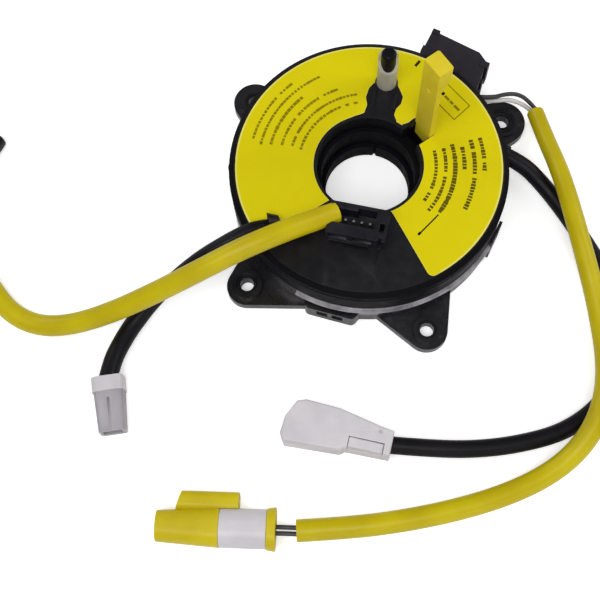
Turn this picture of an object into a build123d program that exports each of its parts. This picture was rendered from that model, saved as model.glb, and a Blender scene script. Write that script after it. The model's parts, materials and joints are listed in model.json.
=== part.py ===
"""Steering clock spring: a flat rotary connector between a steering column and a steering wheel.

A fixed case (ears, wall and wiring outlet) carries a rotor, and a flat cable wound between them lets the
rotor turn two turns each way. Millimetres; +Z is the steering axis, towards the wheel; z = 0 is the plane
of the mounting ears, and the bore's axis is the Z axis.
"""

from build123d import *
from math import cos, pi, radians, sin, tan
import os

# ---------------------------------------------------------------- driving dimensions
CASE_R = 52.4            # outside of the case wall
CASE_WALL = 1.25
CASE_TOP = 22.0          # just under the rotor's rim
FLOOR_LOW = 3.2          # underside and top of the base plate's floor
FLOOR_TOP = 5.2
FOOT_WALL = 3.0          # the rim that the base plate stands on

ROTOR_R = 52.4
ROTOR_TOP_R = 50.4       # the flat of the top; a slope runs from it down to the rim
ROTOR_SLOPE = 1.6
RIM_LOW = 22.4
ROTOR_TOP = 26.0
DISC_T = 3.0
SKIRT_LOW = 19.5
SKIRT_R = 50.6
SKIRT_WALL = 1.4
HUB_R = 22.0
SPIGOT_R = 20.0          # lower part of the hub, which turns in the base plate
SPIGOT_GAP = 0.25
SPIGOT_LOW = 0.8
BORE_TOP_R = 19.4        # the bore narrows towards the column in two steps
BORE_MID_R = 17.8
BORE_R = 16.2
BORE_MID_Z = 18.0
BORE_LOW_Z = 8.0

EAR_T = 4.0
EAR_HOLE_R = 2.6
# name: hole radius, hole angle, ear radius, boss radius, boss height, two root angles on the wall
EARS = {
    "back_left": (58.9, 134.2, 8.4, 5.4, 0.8, 122.0, 147.0),
    "right": (61.1, 22.7, 9.2, 6.6, 1.0, 37.0, 12.0),
    "front_left": (61.0, 215.8, 7.8, 5.8, 2.0, 202.0, 246.0),
    "front_right": (61.7, 285.4, 7.8, 5.2, 0.8, 267.0, 302.0),
}
CLIP_ANGLES = (-31.0, 98.0, 165.0)
CLIP_W = 10.0
CLIP_OUT = 1.2           # how far a snap hook stands out of the wall
CLIP_TOP = 15.0
KEEP_ANGLE = -111.0      # the rounded keeper at the front of the base plate
KEEP_SPAN = 8.5          # half its angular width, to the centres of its rounded ends
KEEP_R = 52.9
KEEP_TOP = 8.0

LABEL_T = 0.2
LABEL_R = 49.9
LABEL_IN = 20.6

CONN_AXIS = 252.8        # direction from the bore's axis to the switch connector
CONN_IN = 20.2           # near and far sides of the connector, along that direction
CONN_OUT = 32.6
CONN_LEFT = -9.6         # its ends, across that direction
CONN_RIGHT = 12.0
CONN_TOP = 34.0
PIN_COUNT = 5
PIN_PITCH = 3.0
PIN_W = 0.8
PIN_X = 25.8             # the pin row's distance from the bore's axis
PIN_FIRST = -6.9
SEAT_Z = ROTOR_TOP - 1.2  # floor of the connector's seat in the rotor

POST_X = 10.3
POST_Y = 33.4
POST_R = 2.8
POST_TOP = 48.0
POST_PLINTH = 0.6
SLEEVE_R = 3.8
SLEEVE_TOP = 45.2

TAB_ANGLE = 30.0
TAB_IN = 24.8
TAB_W = 8.6
TAB_T = 2.2
TAB_TOP = 70.6
TAB_HEAD = 6.2           # radial depth and height of the tab's grip
TAB_HEAD_H = 6.5

RIBBON_IN = 26.0
RIBBON_PITCH = 3.4
RIBBON_TURNS = 6
RIBBON_T = 0.4
RIBBON_LOW = 7.0
RIBBON_TOP = 20.5

BOX_N = 59.0             # direction that the wiring outlet's sides follow
BOX_LEFT = -2.9
BOX_RIGHT = 21.9
BOX_OUT = 66.2
BOX_TOP = 20.0
BOX_LOW = 2.2
BOX_WALL = 1.6

AIRBAG_SLEEVE_R = 4.0    # yellow tubes over the airbag wires
HORN_LEAD_R = 2.9
HORN_Z = 29.3            # height of the horn lead's axis where it leaves the rotor
BODY_LEAD_R = 3.25
WIRE_R = 0.85
SLEEVE_WALL = 0.8
SLEEVE_OPEN = 3.0        # depth of the hollow at each end of the column side's sleeve

BASE_ALIGN = (Align.CENTER, Align.CENTER, Align.MIN)
parts = {}


def group(frame, solids):
    """Separate solids in one node, each put in place by the same frame."""
    return Compound(children=[frame * solid for solid in solids])


def polar(r, angle, z=0.0):
    return Vector(r * cos(radians(angle)), r * sin(radians(angle)), z)


def ring(r_out, r_in, low, high):
    """A plain ring about Z."""
    return Pos(0, 0, low) * extrude(Circle(r_out) - Circle(r_in), high - low)


def slab(x0, x1, y0, y1, z0, z1):
    """A box given by its six faces."""
    return Pos((x0 + x1) / 2, (y0 + y1) / 2, (z0 + z1) / 2) * Box(x1 - x0, y1 - y0, z1 - z0)


def polygon(*points):
    return make_face(Polyline(*points, close=True))


def prism(sketch, low, high):
    return Pos(0, 0, low) * extrude(sketch, high - low)


def along(angle):
    """A frame whose +X points away from the bore's axis, at this angle."""
    return Rot(0, 0, angle)


# ---------------------------------------------------------------- fixed case
def ear_outline(name):
    r, angle, ear_r, _, _, root_a, root_b = EARS[name]
    spots = [Pos(*polar(r, angle)) * Circle(ear_r)]
    spots += [Pos(*polar(CASE_R - 3, a)) * Circle(1.5) for a in (root_a, root_b)]
    edges = [e for s in spots for e in s.edges()]
    return make_hull(edges)


def base_plate():
    body = ring(CASE_R, SPIGOT_R + SPIGOT_GAP, FLOOR_LOW, FLOOR_TOP)
    body += ring(CASE_R, CASE_R - FOOT_WALL, 0, FLOOR_LOW)
    well = Pos(0, 0, -1) * Cylinder(CASE_R - FOOT_WALL, FLOOR_LOW + 1, align=BASE_ALIGN)
    for name, (r, angle, ear_r, boss_r, boss_h, _, _) in EARS.items():
        ear = prism(ear_outline(name), 0, EAR_T) - well
        body += ear
        at = Pos(*polar(r, angle))
        body += at * prism(Circle(boss_r), EAR_T, EAR_T + boss_h)
        body -= at * prism(Circle(boss_r - 1.6), EAR_T + boss_h - 0.6, EAR_T + boss_h)
        body -= at * prism(Circle(EAR_HOLE_R), -1, EAR_T + boss_h + 1)
    for angle in CLIP_ANGLES:
        clip = slab(CASE_R - 0.6, CASE_R + CLIP_OUT, -CLIP_W / 2, CLIP_W / 2, 0.8, FLOOR_TOP)
        arm = slab(CASE_R + 0.05, CASE_R + CLIP_OUT, -CLIP_W / 2, CLIP_W / 2, FLOOR_TOP, CLIP_TOP)
        eye = slab(CASE_R - 1, CASE_R + CLIP_OUT + 1, -2.8, 2.8, 8.5, 12.0)
        body += along(angle) * (clip + arm - eye)
    return body + keeper()


def keeper():
    """A wide rounded catch under the wall, with two windows in its face."""
    ends = [Pos(*polar(KEEP_R, KEEP_ANGLE + side * KEEP_SPAN)) * Circle(2.3) for side in (-1, 1)]
    roots = [Pos(*polar(CASE_R - 2, KEEP_ANGLE + side * (KEEP_SPAN + 3))) * Circle(1.4) for side in (-1, 1)]
    catch = prism(make_hull([e for s in ends + roots for e in s.edges()]), 0, KEEP_TOP)
    catch -= Pos(0, 0, -1) * Cylinder(CASE_R - FOOT_WALL + 0.1, 20, align=BASE_ALIGN)
    catch -= Pos(0, 0, FLOOR_TOP) * Cylinder(CASE_R + 0.05, 20, align=BASE_ALIGN)
    for y in (-4.9, 1.0):
        catch -= along(KEEP_ANGLE) * slab(KEEP_R + 0.7, KEEP_R + 4, y, y + 4.2, 3.0, 6.8)
    return catch


def case_ring():
    wall = ring(CASE_R, CASE_R - CASE_WALL, FLOOR_TOP, CASE_TOP)
    top_edges = wall.edges().filter_by(GeomType.CIRCLE).group_by(Axis.Z)[-1]
    wall = chamfer(top_edges.sort_by(SortBy.RADIUS)[-1], 0.6)
    for angle in CLIP_ANGLES:
        wedge = polygon((CASE_R - 0.3, 8.9), (CASE_R + 1.0, 8.9), (CASE_R - 0.3, 11.6))
        wall += along(angle) * (Pos(0, 2.4, 0) * extrude(Plane.XZ * wedge, 4.8))
    window = along(49) * slab(CASE_R - 4, CASE_R + 2, -7, 7, 6.5, 18)
    outlet = along(7) * slab(CASE_R - 4, CASE_R + 2, -2.6, 2.6, 6.6, 12.2)
    return wall - window - outlet


def outlet_frame():
    """+X along the outlet's long side, +Y away from the rotor."""
    return Rot(0, 0, BOX_N - 90)


def outlet_plan(inset=0.0):
    """The outlet's outline in its own frame, with two horns on its far corners."""
    a, b, far = BOX_LEFT + inset, BOX_RIGHT - inset, BOX_OUT - inset
    return polygon((a, 46), (b + 1.8, 42), (b, far - 4.0), (b - 4.2, far - 1.2), (a + 3.2, far), (a, far))


def outlet_housing():
    case = Pos(0, 0, -1) * Cylinder(CASE_R + 0.02, 40, align=BASE_ALIGN)
    body = prism(outlet_plan(), BOX_LOW, BOX_TOP)
    body -= prism(outlet_plan(BOX_WALL), BOX_LOW - 1, BOX_TOP - BOX_WALL)
    horn_a = slab(BOX_LEFT, BOX_LEFT + 3.0, BOX_OUT - 1, BOX_OUT + 1.0, 10, BOX_TOP + 0.4)
    horn_b = slab(BOX_RIGHT - 2.0, BOX_RIGHT + 1.4, BOX_OUT - 6.6, BOX_OUT - 4.0, 8, BOX_TOP + 0.4)
    rib = slab(BOX_RIGHT - 1, BOX_RIGHT + 1.6, 50, 52, BOX_LOW, BOX_TOP - 3)
    body += horn_a + horn_b + rib + Pos(0, 4.5, 0) * rib
    body += slab(BOX_LEFT - 1.0, BOX_LEFT, 57, 60, BOX_LOW, BOX_TOP - 2)
    body = outlet_frame() * body
    body -= case + prism(ear_outline("right"), 0, EAR_T + 0.05)
    exit_hole = Pos(45.6, 31.4, 11.0) * Rot(0, 90, 0) * Cylinder(2.8, 8)
    return body - exit_hole


def outlet_cover():
    case = Pos(0, 0, -1) * Cylinder(CASE_R + 0.3, 10, align=BASE_ALIGN)
    plate = outlet_frame() * prism(outlet_plan(0.2), 0.6, BOX_LOW)
    ears = prism(ear_outline("right"), 0, 10)
    return plate - case - ears


def outlet_terminals():
    """Five joint bars that carry the flat cable's ends to the leads."""
    bars = []
    for i in range(5):
        x = BOX_LEFT + 4.4 + 3.4 * i
        bars.append(slab(x, x + 1.8, 56.0, 62.8, 8.0, 8.8) + slab(x, x + 1.8, 62.0, 62.8, 8.8, 12.0))
    carrier = slab(BOX_LEFT + 3.0, BOX_LEFT + 21.0, 57.5, 60.5, 5.0, 8.0)
    return outlet_frame() * carrier, group(outlet_frame(), bars)


def slip_sheet(low, high, r_in, r_out):
    return ring(r_out, r_in, low, high)


# ---------------------------------------------------------------- flat cable
def ribbon():
    """The flat cable: half rings whose centre steps to and fro, so that each turn runs into the next."""
    half = RIBBON_PITCH / 2
    turns = None
    for i in range(2 * RIBBON_TURNS):
        r = RIBBON_IN + half * (i + 0.5)
        centre = half / 2 if i % 2 == 0 else -half / 2
        side = -1 if i % 2 == 0 else 1
        keep = Pos(0, side * 50) * Rectangle(200, 100)
        piece = Pos(centre, 0) * (Circle(r + RIBBON_T / 2) - Circle(r - RIBBON_T / 2)) & keep
        turns = piece if turns is None else turns + piece
    return prism(turns, RIBBON_LOW, RIBBON_TOP)


def ribbon_ends():
    """The inner and outer clamps that hold the flat cable's ends."""
    r_first = RIBBON_IN + RIBBON_PITCH / 4
    inner = slab(HUB_R + 0.05, r_first + RIBBON_PITCH / 4 - 0.3, 0.3, 7.0, RIBBON_LOW, RIBBON_TOP)
    inner -= Pos(RIBBON_PITCH / 4, 0, 0) * ring(r_first + 5, r_first - 0.3, 0, 40)
    r_last = RIBBON_IN + RIBBON_PITCH / 2 * (2 * RIBBON_TURNS - 0.5)
    outer = slab(r_last - 3.0, r_last + 2.6, -7.0, -0.3, RIBBON_LOW, 18.6)
    outer &= ring(49.9, r_last + RIBBON_PITCH / 4 + 0.5, 0, 40)
    return inner, outer


# ---------------------------------------------------------------- rotor
def rotor():
    slope_low = ROTOR_TOP - ROTOR_SLOPE
    disc = Pos(0, 0, slope_low) * Cone(ROTOR_R, ROTOR_TOP_R, ROTOR_SLOPE, align=BASE_ALIGN)
    disc += Pos(0, 0, ROTOR_TOP - DISC_T) * Cylinder(ROTOR_R, DISC_T - ROTOR_SLOPE, align=BASE_ALIGN)
    disc -= Pos(0, 0, ROTOR_TOP - DISC_T - 1) * Cylinder(BORE_TOP_R, DISC_T + 2, align=BASE_ALIGN)
    body = disc + ring(ROTOR_R, ROTOR_R - 1.4, RIM_LOW, ROTOR_TOP - DISC_T)
    body += ring(SKIRT_R, SKIRT_R - SKIRT_WALL, SKIRT_LOW, ROTOR_TOP - DISC_T)
    body += ring(HUB_R, BORE_TOP_R, BORE_MID_Z, ROTOR_TOP - DISC_T)
    body += ring(HUB_R, BORE_MID_R, BORE_LOW_Z, BORE_MID_Z)
    body += ring(HUB_R, BORE_R, FLOOR_TOP + 0.6, BORE_LOW_Z)
    body += ring(SPIGOT_R, BORE_R, SPIGOT_LOW, FLOOR_TOP + 0.6)
    notch = polygon((BORE_R - 1, -1.5), (BORE_R + 1.1, 0), (BORE_R - 1, 1.5))
    body -= along(74) * prism(notch, 0, BORE_LOW_Z + 1)
    # pocket that the transit lock drops into
    pocket = slab(BORE_TOP_R - 3, TAB_IN + TAB_T + 0.3, -TAB_W / 2 + 0.2, TAB_W / 2 - 0.2, BORE_MID_Z, 30)
    body -= along(TAB_ANGLE) * pocket
    # low walls that lead from the bore to the post
    for side in (-1, 1):
        wall = slab(24.0, 31.0, side * 4.0 - 0.5, side * 4.0 + 0.5, ROTOR_TOP, ROTOR_TOP + 1.2)
        body += along(72) * wall
    body += Pos(POST_X, POST_Y, ROTOR_TOP) * Cylinder(SLEEVE_R + 0.3, POST_PLINTH, align=BASE_ALIGN)
    # seat of the switch connector and a stiffening rib in front of it
    seat = slab(CONN_IN + 0.5, CONN_OUT - 0.5, CONN_LEFT + 0.5, CONN_RIGHT - 1.9, SEAT_Z, 30)
    body -= along(CONN_AXIS) * seat
    body += along(CONN_AXIS) * slab(CONN_OUT + 1.0, 42.6, 10.2, 11.0, ROTOR_TOP, ROTOR_TOP + 0.9)
    body -= Pos(POST_X, POST_Y, ROTOR_TOP + POST_PLINTH) * Cylinder(POST_R, 6)
    return body


def pin_slots():
    """The contact pins in the switch connector's own frame."""
    pins = []
    for i in range(PIN_COUNT):
        y = PIN_FIRST + PIN_PITCH * i
        pins.append(slab(PIN_X - PIN_W / 2, PIN_X + PIN_W / 2, y, y + PIN_W, SEAT_Z, CONN_TOP - 2.4))
    return pins


def switch_connector():
    """The open socket for the wheel's switches, with a latch window and two finger slots in its front."""
    left, right = CONN_LEFT, CONN_RIGHT
    floor = ROTOR_TOP + 1.4
    over = CONN_TOP + 1
    body = slab(CONN_IN, CONN_OUT, left, right, ROTOR_TOP, CONN_TOP)
    body -= Pos(CONN_IN, right, 30) * Rot(0, 0, 45) * Box(2.6, 2.6, 20)
    body += slab(CONN_IN + 0.8, CONN_OUT - 0.8, left + 0.8, right - 2.2, SEAT_Z, ROTOR_TOP)
    cavity = slab(CONN_IN + 2.6, CONN_OUT - 4.2, left + 1.5, 7.4, floor, over)
    key = slab(CONN_IN + 1.4, CONN_IN + 2.6, 0.4, 7.4, floor, over)
    latch = slab(CONN_OUT - 6.8, CONN_OUT - 3.6, 9.2, 11.0, floor, over)
    body -= cavity + key + latch
    for y, width in ((-8.6, 6.8), (0.2, 7.2)):
        body -= slab(CONN_OUT - 2.6, CONN_OUT + 1, y, y + width, ROTOR_TOP + 3.2, CONN_TOP - 1.6)
    body += slab(CONN_OUT, CONN_OUT + 0.8, -8.4, 6.4, ROTOR_TOP + 2.0, ROTOR_TOP + 2.9)
    body -= slab(CONN_OUT - 1.2, CONN_OUT + 1, 9.6, 10.8, ROTOR_TOP + 0.8, over)
    for pin in pin_slots():
        body -= pin
    return along(CONN_AXIS) * body


def connector_pins():
    return group(along(CONN_AXIS), pin_slots())


def lead_outlet():
    """A low hood on the rotor that the horn lead comes out of."""
    low = ROTOR_TOP + LABEL_T
    shell = slab(-3.6, 0.6, -3.3, 3.8, low, low + 7.0)
    shell = fillet(shell.edges().filter_by(Axis.X).group_by(Axis.Z)[-1], 3.0)
    shell -= Pos(0, 0, HORN_Z) * Rot(0, 90, 0) * Cylinder(HORN_LEAD_R + 0.3, 8)
    return Pos(-35.2, -21.0, 0) * Rot(0, 0, 9) * shell


def post():
    return Pos(POST_X, POST_Y, ROTOR_TOP - 1.4) * extrude(Circle(POST_R), POST_TOP - ROTOR_TOP + 1.4)


def post_sleeve():
    """A soft tube over the post, cut on the slant so that the post shows on the near side."""
    low = ROTOR_TOP + POST_PLINTH
    tube = Pos(POST_X, POST_Y, low) * extrude(Circle(SLEEVE_R) - Circle(POST_R), SLEEVE_TOP - low)
    slant = polygon((-9, 38.2), (-2.6, 38.6), (0.4, 42.6), (1.4, 50), (-9, 50))
    cut = Pos(POST_X - 10, POST_Y, 0) * extrude(Plane.YZ * slant, 20)
    return tube - cut


def hub_retainer():
    """The snap ring that holds the rotor in the base plate; its two lugs turn the cancelling cam."""
    body = ring(25.0, SPIGOT_R, SPIGOT_LOW, FLOOR_LOW - 0.4)
    for angle in (75, 255):
        body += along(angle) * slab(24.5, 28.5, -3, 3, SPIGOT_LOW, FLOOR_LOW - 0.4)
    return body


def label():
    """The sticker: most of a ring, notched round the post, the lock and the connector."""
    face = Circle(LABEL_R) - Circle(LABEL_IN)
    open_end = polygon((6.5, -19.9), (19.4, -51.6), (10, -62), (-60, -62), (-60, -26.4),
                       (-20.9, -15.6), (-14, -12))
    face -= open_end
    post_notch = polygon((-5.4, 17.0), (-4.2, 20.3), (0.5, 21.5), (2.0, 24.8), (1.9, 28.2), (3.5, 31.9),
                         (5.6, 33.9), (14.0, 33.5), (15.1, 29.9), (15.9, 26.8), (14.8, 23.9), (12.7, 22.0),
                         (11.7, 19.5), (12.4, 16.8), (9.0, 14.0))
    post_notch = fillet(post_notch.vertices(), 0.9)
    face -= post_notch + Pos(POST_X, POST_Y) * Circle(SLEEVE_R + 0.6)
    tab_notch = polygon((14.2, 15.3), (16.5, 15.7), (18.6, 17.2), (20.6, 18.0), (26.0, 11.0), (24.3, 10.7),
                        (22.4, 7.9), (18.0, 6.0))
    face -= tab_notch
    end_corner = face.vertices().sort_by_distance((17.5, -46.7))[0]
    face = fillet(end_corner, 2.2)
    sticker = prism(face, ROTOR_TOP, ROTOR_TOP + LABEL_T)
    sticker -= along(TAB_ANGLE) * slab(18, TAB_IN + TAB_T + 0.2, -TAB_W / 2 - 0.2, TAB_W / 2 + 0.2, 20, 30)
    return sticker


def lock_tab():
    """The transit lock: a flat blade with a grip, gussets behind it and a foot in the rotor's pocket."""
    half = TAB_W / 2
    blade = slab(TAB_IN, TAB_IN + TAB_T, -half, half, ROTOR_TOP, TAB_TOP)
    grip = slab(TAB_IN, TAB_IN + TAB_HEAD, -half, half, TAB_TOP - TAB_HEAD_H, TAB_TOP)
    grip = fillet(grip.edges().filter_by(Axis.Z), 0.8)
    back = TAB_IN + TAB_T
    under = TAB_TOP - TAB_HEAD_H
    gusset = Plane.XZ * polygon((back - 0.1, under), (TAB_IN + TAB_HEAD, under), (back - 0.1, under - 7))
    gusset = Pos(0, 1.2 - half, 0) * extrude(gusset, 1.2) + Pos(0, half, 0) * extrude(gusset, 1.2)
    foot = slab(TAB_IN, TAB_IN + TAB_T, -half + 0.6, half - 0.6, BORE_MID_Z + 0.6, ROTOR_TOP)
    dimple = Pos(TAB_IN, 0, TAB_TOP - 15) * Sphere(1.1)
    return along(TAB_ANGLE) * (blade + grip + gusset + foot - dimple)


# ---------------------------------------------------------------- leads
def bend_radii(points):
    """The arc at each corner of a route: 0.45 of the shorter run over the tangent of half the turn."""
    radii = []
    for a, b, c in zip(points, points[1:], points[2:]):
        run_in, run_out = b - a, c - b
        turn = radians(run_in.get_angle(run_out))
        radii.append(0.45 * min(run_in.length, run_out.length) / tan(turn / 2))
    return radii


def lead(name, route, r):
    """A tube of this radius along straight runs joined by tangent arcs."""
    points = [Vector(*p) for p in route]
    radii = bend_radii(points)
    path = FilletPolyline(*points, radius=radii)
    tube = sweep(Plane(origin=path @ 0, z_dir=path % 0) * Circle(r), path=path)
    expected = pi * r * r * path.length
    runs = [(b - a).length for a, b in zip(points, points[1:])]
    print(f"{name}: length {path.length:.1f}, "
          f"least radius {min(radii):.1f} = {min(radii) / (2 * r):.1f} D, "
          f"runs {min(runs):.1f} to {max(runs):.1f}, volume / expected {tube.volume / expected:.4f}, "
          f"lowest z {tube.bounding_box().min.Z:.2f}")
    if name == "column_airbag_sleeve":
        for at in (0, 1):
            tube -= Plane(origin=path @ at, z_dir=path % at) * Cylinder(r - SLEEVE_WALL, 2 * SLEEVE_OPEN)
    return tube


ROUTES = {
    "wheel_airbag_sleeve": (AIRBAG_SLEEVE_R, [
        (-14.2, -20.4, 31.0), (-25.4, -24.6, 34.2), (-36.4, -29.2, 37.3), (-49.4, -33.6, 37.0),
        (-64, -38, 32.0), (-81, -41.8, 23.4), (-98.4, -44.6, 14.4), (-115, -45.4, 7.2),
        (-130, -43.2, 4.05), (-143.5, -37.4, 4.05), (-154, -29.0, 4.05), (-160.6, -18.2, 4.05),
        (-163.6, -6.2, 4.05), (-163.6, 5.6, 4.05), (-160.9, 16.5, 4.05), (-154.6, 25.2, 4.05)]),
    "horn_lead": (HORN_LEAD_R, [
        (-36.4, -21.2, 29.3), (-43.6, -22.8, 29.4), (-50.6, -25.4, 29.2), (-57.6, -28.2, 27.6),
        (-64.8, -30.6, 24.2), (-73, -32.8, 17.4), (-80.8, -35.6, 10.6), (-88.2, -39.9, 5.6),
        (-94.8, -45.6, 3.6), (-99.8, -52.8, 3.4), (-103.6, -61.6, 4.2), (-104.4, -70.1, 4.6)]),
    "body_lead": (BODY_LEAD_R, [
        (54.6, 6.4, 9.4), (61.0, 2.8, 8.2), (67.4, -4.4, 5.6), (74.0, -14.6, 3.6), (79.6, -26.8, 3.3),
        (85.0, -40.1, 3.3), (89.0, -54.2, 3.3), (89.6, -68.5, 3.3), (85.3, -81.9, 3.3), (76.0, -94.0, 3.3),
        (61.4, -102.4, 3.3), (44, -105.4, 3.3), (28, -105.8, 3.4), (12.1, -104.2, 4.2),
        (-3.2, -101.6, 4.8)]),
    "column_airbag_sleeve": (AIRBAG_SLEEVE_R, [
        (72.2, 26.4, 4.4), (73.8, 12.4, 7.0), (74.6, -0.4, 11.6), (75.2, -12.8, 13.8), (76.2, -27.4, 13.8),
        (77.8, -41.4, 12.0), (79.4, -53.2, 9.4), (80.2, -64.2, 7.6), (80.0, -75, 8.0), (78.2, -85.4, 10.2),
        (74.8, -95.4, 11.4), (69.4, -104.6, 9.8), (61.4, -112.4, 6.6), (50.4, -118.6, 4.6),
        (35.4, -123.6, 4.05), (18, -127, 4.05), (0, -129, 4.05), (-19, -129.8, 4.05), (-38.4, -129.2, 4.05)]),
    "column_airbag_wire_a": (WIRE_R, [
        (46.6, 31.6, 12.2), (52.6, 30.6, 12.0), (58.4, 32.0, 11.6), (64.2, 32.4, 10.0), (69.0, 30.4, 7.2),
        (72.6, 26.7, 5.2)]),
    "column_airbag_wire_b": (WIRE_R, [
        (46.4, 31.0, 9.8), (53.6, 30.2, 9.8), (59.8, 30.8, 9.2), (65.4, 30.0, 6.8), (69.4, 28.2, 4.6),
        (71.6, 26.6, 3.6)]),
}


# ---------------------------------------------------------------- plugs
def plug_frame(spot, heading):
    """+X runs from the wire end of a plug to its mating end, along the table."""
    return Pos(*spot) * Rot(0, 0, heading)


def block(x0, x1, width, height, radius, low=0.0, shift=0.0):
    """A bar along X with rounded long edges, standing on z = low."""
    section = Plane.YZ * Pos(shift, low + height / 2) * RectangleRounded(width, height, radius)
    return Pos(x0, 0, 0) * extrude(section, x1 - x0)


def tapered(x0, x1, first, last, radius):
    """A bar along X whose (width, height) changes from first to last; its underside stays on z = 0."""
    ends = []
    for x, (width, height) in ((x0, first), (x1, last)):
        ends.append(Plane(origin=(x, 0, height / 2), x_dir=(0, 1, 0), z_dir=(1, 0, 0))
                    * RectangleRounded(width, height, radius))
    return loft(ends)


COLUMN_AIRBAG_PLUG = plug_frame((-45.6, -128.4, 0), 173.0)
BODY_PLUG = plug_frame((-1.2, -102.1, 0), 162.0)
HORN_PLUG = plug_frame((-103.4, -67.6, 0), -87.0)
WHEEL_AIRBAG_PLUG = plug_frame((-154.4, 25.5, 0), 53.0)


def column_airbag_plug():
    cap = tapered(0, 3.2, (15.4, 12.2), (14.4, 12.0), 5.4)
    cap -= Pos(-0.1, 0, 5.0) * Rot(0, 90, 0) * Cylinder(3.4, 3.0)
    collar = block(3.2, 20.0, 13.8, 12.0, 5.6)
    bore = Pos(11, 0, 5.6) * Rot(0, 90, 0) * Cylinder(4.0, 20)
    collar -= bore
    body = tapered(20.0, 42.5, (13.8, 12.0), (11.0, 10.4), 4.6)
    lump = block(13.5, 36.0, 7.0, 9.0, 2.6, 0.6, -9.0)
    nose = Pos(38.0, -9.0, 5.1) * Rot(0, 0, -16) * Box(6, 18, 12)
    collar_room = block(3.2, 20.0, 14.2, 12.4, 5.8, -0.2)
    body += lump - nose - collar_room
    body -= block(35.5, 43.5, 7.6, 6.4, 1.2, 2.0)
    solids = {"cap": cap, "collar": collar, "body": body}
    return {f"column_airbag_plug_{name}": COLUMN_AIRBAG_PLUG * solid for name, solid in solids.items()}


def column_airbag_tail():
    """The two wires between the sleeve's end and the plug's cap."""
    wires = []
    for side in (-1, 1):
        wires.append(Pos(-7.4, side * 1.1, 4.6) * Rot(0, 90, 0) * Cylinder(WIRE_R, 8.7, align=BASE_ALIGN))
    return group(COLUMN_AIRBAG_PLUG, wires)


def body_plug():
    outline = polygon((0.4, -4.4), (5.0, -5.0), (13.6, -6.8), (21.3, -8.3), (34.0, -8.8), (37.2, -7.6),
                      (40.1, -1.2), (40.6, 5.2), (38.8, 8.0), (18.1, 6.8), (16.6, 5.4), (0.4, 5.0))
    housing = prism(outline, 0, 10.4)
    top = housing.faces().sort_by(Axis.Z)[-1]
    housing = fillet(top.edges(), 1.0)
    housing -= slab(32.0, 42, -6.4, 4.6, 2.2, 8.2)
    housing -= slab(3.0, 16.0, 0.9, 8, 6.6, 11)
    housing -= Pos(0, 0, 4.8) * Rot(0, 90, 0) * Cylinder(BODY_LEAD_R + 0.5, 6)
    housing -= slab(3.9, 32.0, -4.6, 0.6, 3.0, 6.4)
    housing -= Pos(5.2, -3.0, 10.4) * Cylinder(0.7, 1.6)
    retainer = slab(3.2, 15.8, 1.1, 4.8, 6.7, 9.6)
    retainer = fillet(retainer.edges().filter_by(Axis.X).sort_by(Axis.Z)[-1], 0.8)
    contacts = [slab(14, 34, y, y + 0.9, 4.4, 5.2) for y in (-3.8, -0.6)]
    return {"body_plug_housing": BODY_PLUG * housing, "body_plug_retainer": BODY_PLUG * retainer,
            "body_plug_terminals": group(BODY_PLUG, contacts)}


def horn_plug():
    rim = block(0, 5.6, 12.0, 10.0, 2.6)
    body = tapered(5.6, 20.4, (11.0, 9.0), (9.8, 8.0), 1.6)
    housing = rim + body
    housing -= slab(8.0, 21, -0.5, 0.5, 8.0, 12)
    housing -= block(13.5, 21.0, 7.2, 4.6, 0.6, 1.8)
    housing -= Pos(0, -1.0, 4.6) * Rot(0, 90, 0) * Cylinder(HORN_LEAD_R + 0.8, 6.6)
    contacts = [slab(11, 14.3, y, y + 0.8, 3.6, 4.4) for y in (-2.0, 1.2)]
    housing -= slab(4.0, 13.5, -2.6, 2.6, 3.0, 5.2)
    return {"horn_plug_housing": HORN_PLUG * housing, "horn_plug_terminals": group(HORN_PLUG, contacts)}


def wheel_airbag_plug():
    body = tapered(0, 15.0, (10.5, 9.0), (8.4, 7.6), 3.2)
    body = fillet(body.faces().sort_by(Axis.X)[-1].edges(), 1.2)
    ridge = slab(2, 9, -1.6, 1.6, 8.0, 9.6)
    return WHEEL_AIRBAG_PLUG * (body + ridge)


def body_lead_grommet():
    """A rubber boot in the case wall, slanted the way the lead leaves."""
    boot = Pos(*ROUTES["body_lead"][1][0]) * Rot(0, 0, -29) * Rot(0, 9, 0)
    cone = Pos(-7.5, 0, 0) * Rot(0, 90, 0) * Cone(4.4, BODY_LEAD_R + 0.7, 8.0, align=BASE_ALIGN)
    cone -= Pos(-0.3, 0, 0) * Rot(0, 90, 0) * Cylinder(BODY_LEAD_R + 0.3, 5, align=BASE_ALIGN)
    return boot * cone - ring(CASE_R + 0.01, 30, 0, 30)


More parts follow.
